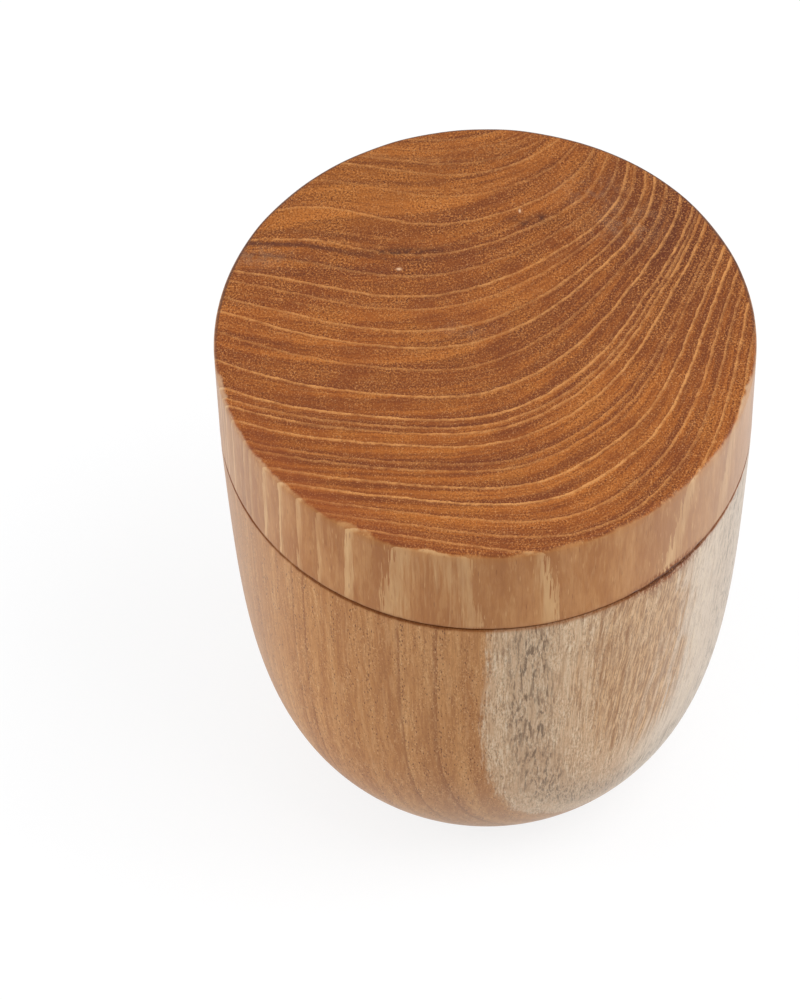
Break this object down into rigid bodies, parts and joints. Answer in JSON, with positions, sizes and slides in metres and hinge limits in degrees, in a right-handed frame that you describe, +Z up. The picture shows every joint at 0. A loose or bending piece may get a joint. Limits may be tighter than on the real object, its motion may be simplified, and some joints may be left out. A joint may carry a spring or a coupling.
{
  "type": "lidded storage jar",
  "caption": "Turned wooden storage jar with a straight-sided, round-bottomed body and a thick flat lid whose spigot drops into the mouth.",
  "frame": {"origin": "centre of the foot, on the surface that the jar stands on", "axes": "+Z up along the axis that both pieces are turned about; -Y is the side the picture shows; the grain runs along Z"},
  "size_m": [0.12, 0.12, 0.14],
  "materials": {
    "body_wood": "side grain, brown heartwood with a paler grey-streaked band of sapwood, sanded and lightly oiled",
    "lid_wood": "end grain on top, darker and redder, side grain round the edge, sanded and lightly oiled"
  },
  "bodies": {
    "jar": {"jar_body": "body_wood"},
    "lid": {"lid": "lid_wood"}
  },
  "joints": [
    {"name": "lid_lift", "type": "slide", "parent": "jar", "child": "lid", "axis": [0, 0, 1], "range_m": [0, 0.09]}
  ]
}
